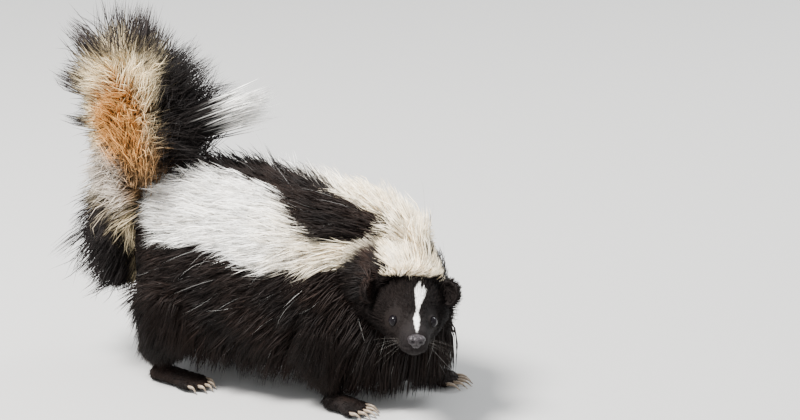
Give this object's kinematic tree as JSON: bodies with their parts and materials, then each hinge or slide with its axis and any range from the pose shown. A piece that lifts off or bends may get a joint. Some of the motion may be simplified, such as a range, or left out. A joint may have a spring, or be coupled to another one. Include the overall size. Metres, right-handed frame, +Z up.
{
  "type": "striped skunk",
  "caption": "Life-size striped skunk standing still with its head low and turned, and its plumed tail raised.",
  "frame": {"origin": "on the floor, under the middle of the whole object's box", "axes": "+X from the tail to the chest, +Y to the animal's left, +Z up"},
  "size_m": [0.3928, 0.176, 0.3085],
  "materials": {
    "body_fur": "long black-brown guard hair with broad white stripes",
    "tail_fur": "long loose cream, tan and black hair",
    "paw": "short black fur over bare dark pads",
    "eye": "wet black",
    "nose": "moist grey-black skin"
  },
  "bodies": {
    "root": {"torso": "body_fur", "neck": "body_fur", "head": "body_fur", "foreleg_right": "body_fur", "foreleg_left": "body_fur", "hindleg_right": "body_fur", "hindleg_left": "body_fur", "forepaw_right": "paw", "forepaw_left": "paw", "hindpaw_right": "paw", "hindpaw_left": "paw", "ear_right": "body_fur", "ear_left": "body_fur", "eye_right": "eye", "eye_left": "eye", "nose": "nose", "tail": "tail_fur"}
  },
  "joints": []
}
